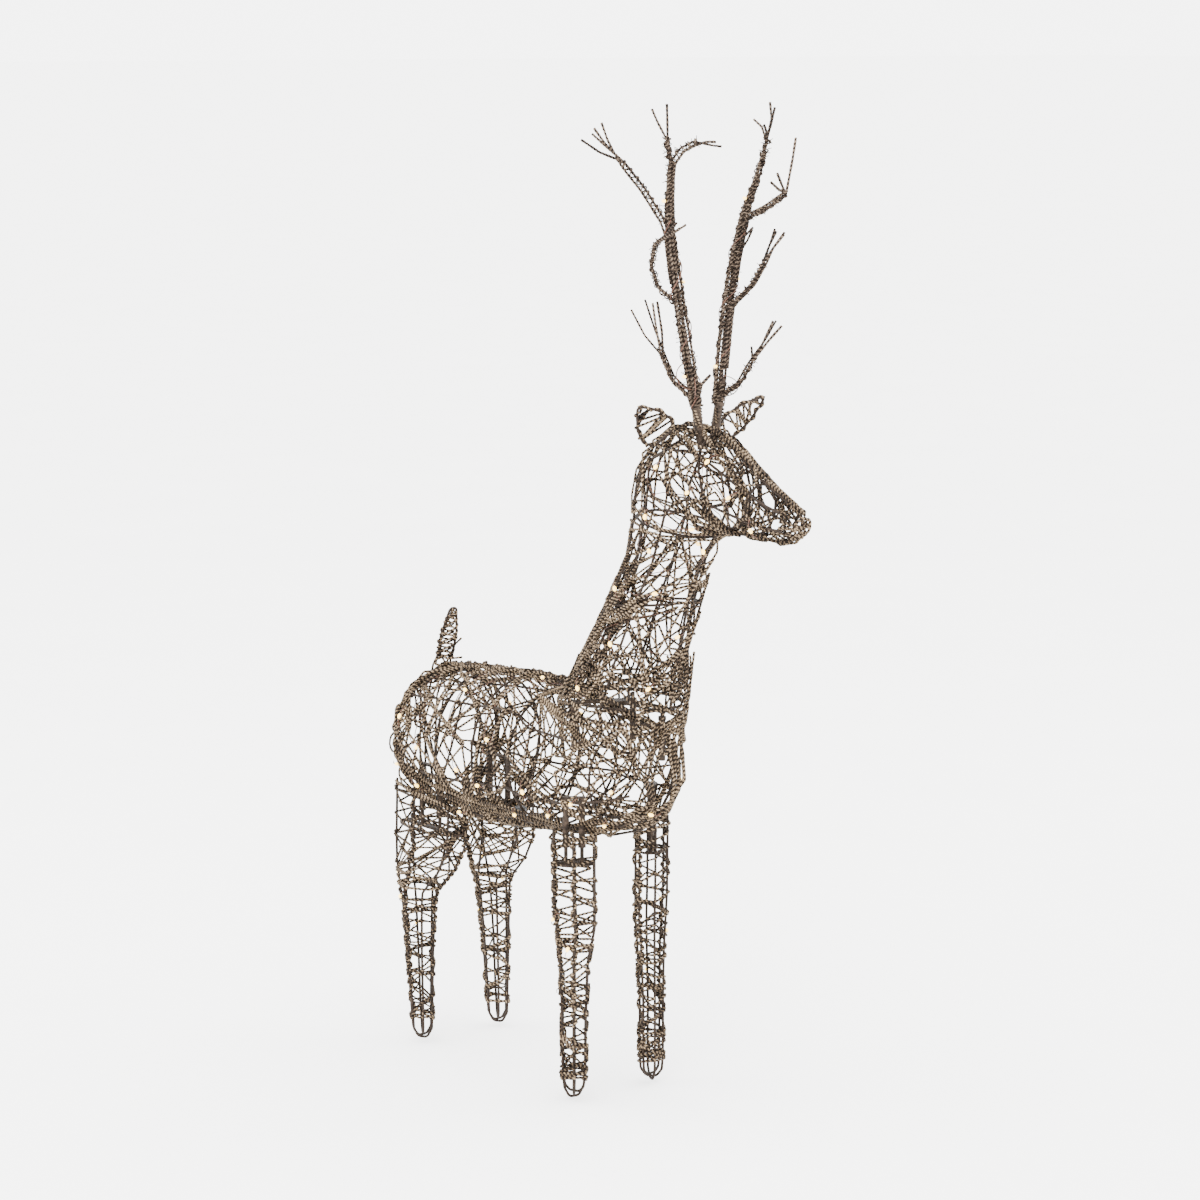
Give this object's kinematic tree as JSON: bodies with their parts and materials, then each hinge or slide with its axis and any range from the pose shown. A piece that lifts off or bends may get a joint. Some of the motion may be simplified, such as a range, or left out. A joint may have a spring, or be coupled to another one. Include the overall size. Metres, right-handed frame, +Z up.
{
  "type": "light up yard reindeer",
  "caption": "Standing stag of welded wire cages wound with brown twisted paper twine, with woven-in warm lamps, bundled twig antlers, and a neck, legs and antlers that plug in",
  "frame": {"origin": "On the ground under the middle of the overall box, halfway from nose to rump.", "axes": "+X is the way the stag faces, +Y is its own left, +Z is up. The toes stand on z = 0."},
  "size_m": [0.913, 0.2525, 1.4924],
  "materials": {
    "paper_twine": "matte",
    "twig_bundle": "matte",
    "frame_wire": "satin",
    "plug_steel": "satin",
    "lamp_bead": "gloss",
    "lamp_wire": "satin",
    "inlet_plastic": "matte"
  },
  "bodies": {
    "barrel": {"barrel_flank_rods": "frame_wire", "barrel_hoops": "frame_wire", "barrel_keel_rod": "frame_wire", "barrel_lamps": "lamp_bead", "barrel_light_wire": "lamp_wire", "barrel_spine_rod": "frame_wire", "barrel_wicker_skin": "paper_twine", "lead_inlet_ring_nut": "inlet_plastic", "lead_inlet_socket": "inlet_plastic", "leg_socket_brackets": "plug_steel", "neck_seat_hoop": "frame_wire", "neck_socket_tubes": "plug_steel", "tail_frame": "frame_wire", "tail_wicker_web": "paper_twine"},
    "neck_and_head": {"neck_wicker_skin": "paper_twine", "head_wicker_skin": "paper_twine", "nape_and_crown_rod": "frame_wire", "throat_and_jaw_rod": "frame_wire", "neck_side_rods": "frame_wire", "neck_hoops": "frame_wire", "head_hoops": "frame_wire", "neck_light_wire": "lamp_wire", "neck_plug_spider": "plug_steel", "neck_base_hoop": "frame_wire", "neck_and_head_lamps": "lamp_bead", "right_ear_frame": "frame_wire", "right_ear_wicker_web": "paper_twine", "left_ear_frame": "frame_wire", "left_ear_wicker_web": "paper_twine", "left_antler_socket": "plug_steel", "right_antler_socket": "plug_steel"},
    "right_antler": {"right_antler_beam": "twig_bundle", "right_antler_lamps": "lamp_bead", "right_antler_stem": "plug_steel", "right_antler_tines": "twig_bundle"},
    "left_antler": {"left_antler_beam": "twig_bundle", "left_antler_lamps": "lamp_bead", "left_antler_stem": "plug_steel", "left_antler_tines": "twig_bundle"},
    "front_right_leg": {"front_right_leg_hoops": "frame_wire", "front_right_leg_lamps": "lamp_bead", "front_right_leg_plug_fork": "plug_steel", "front_right_leg_rods": "frame_wire", "front_right_leg_wicker_skin": "paper_twine"},
    "front_left_leg": {"front_left_leg_hoops": "frame_wire", "front_left_leg_lamps": "lamp_bead", "front_left_leg_plug_fork": "plug_steel", "front_left_leg_rods": "frame_wire", "front_left_leg_wicker_skin": "paper_twine"},
    "hind_right_leg": {"hind_right_leg_hoops": "frame_wire", "hind_right_leg_lamps": "lamp_bead", "hind_right_leg_plug_fork": "plug_steel", "hind_right_leg_rods": "frame_wire", "hind_right_leg_wicker_skin": "paper_twine"},
    "hind_left_leg": {"hind_left_leg_hoops": "frame_wire", "hind_left_leg_lamps": "lamp_bead", "hind_left_leg_plug_fork": "plug_steel", "hind_left_leg_rods": "frame_wire", "hind_left_leg_wicker_skin": "paper_twine"}
  },
  "joints": [
    {"name": "neck_lift_off", "type": "slide", "parent": "barrel", "child": "neck_and_head", "axis": [0, 0, 1], "range_m": [0, 0.075]},
    {"name": "right_antler_pull_out", "type": "slide", "parent": "neck_and_head", "child": "right_antler", "axis": [0, -0.1903, 0.9817], "range_m": [0, 0.06]},
    {"name": "left_antler_pull_out", "type": "slide", "parent": "neck_and_head", "child": "left_antler", "axis": [0, 0.1903, 0.9817], "range_m": [0, 0.06]},
    {"name": "front_right_leg_pull_down", "type": "slide", "parent": "barrel", "child": "front_right_leg", "axis": [0, 0, -1], "range_m": [0, 0.07]},
    {"name": "front_left_leg_pull_down", "type": "slide", "parent": "barrel", "child": "front_left_leg", "axis": [0, 0, -1], "range_m": [0, 0.07]},
    {"name": "hind_right_leg_pull_down", "type": "slide", "parent": "barrel", "child": "hind_right_leg", "axis": [0, 0, -1], "range_m": [0, 0.07]},
    {"name": "hind_left_leg_pull_down", "type": "slide", "parent": "barrel", "child": "hind_left_leg", "axis": [0, 0, -1], "range_m": [0, 0.07]}
  ]
}
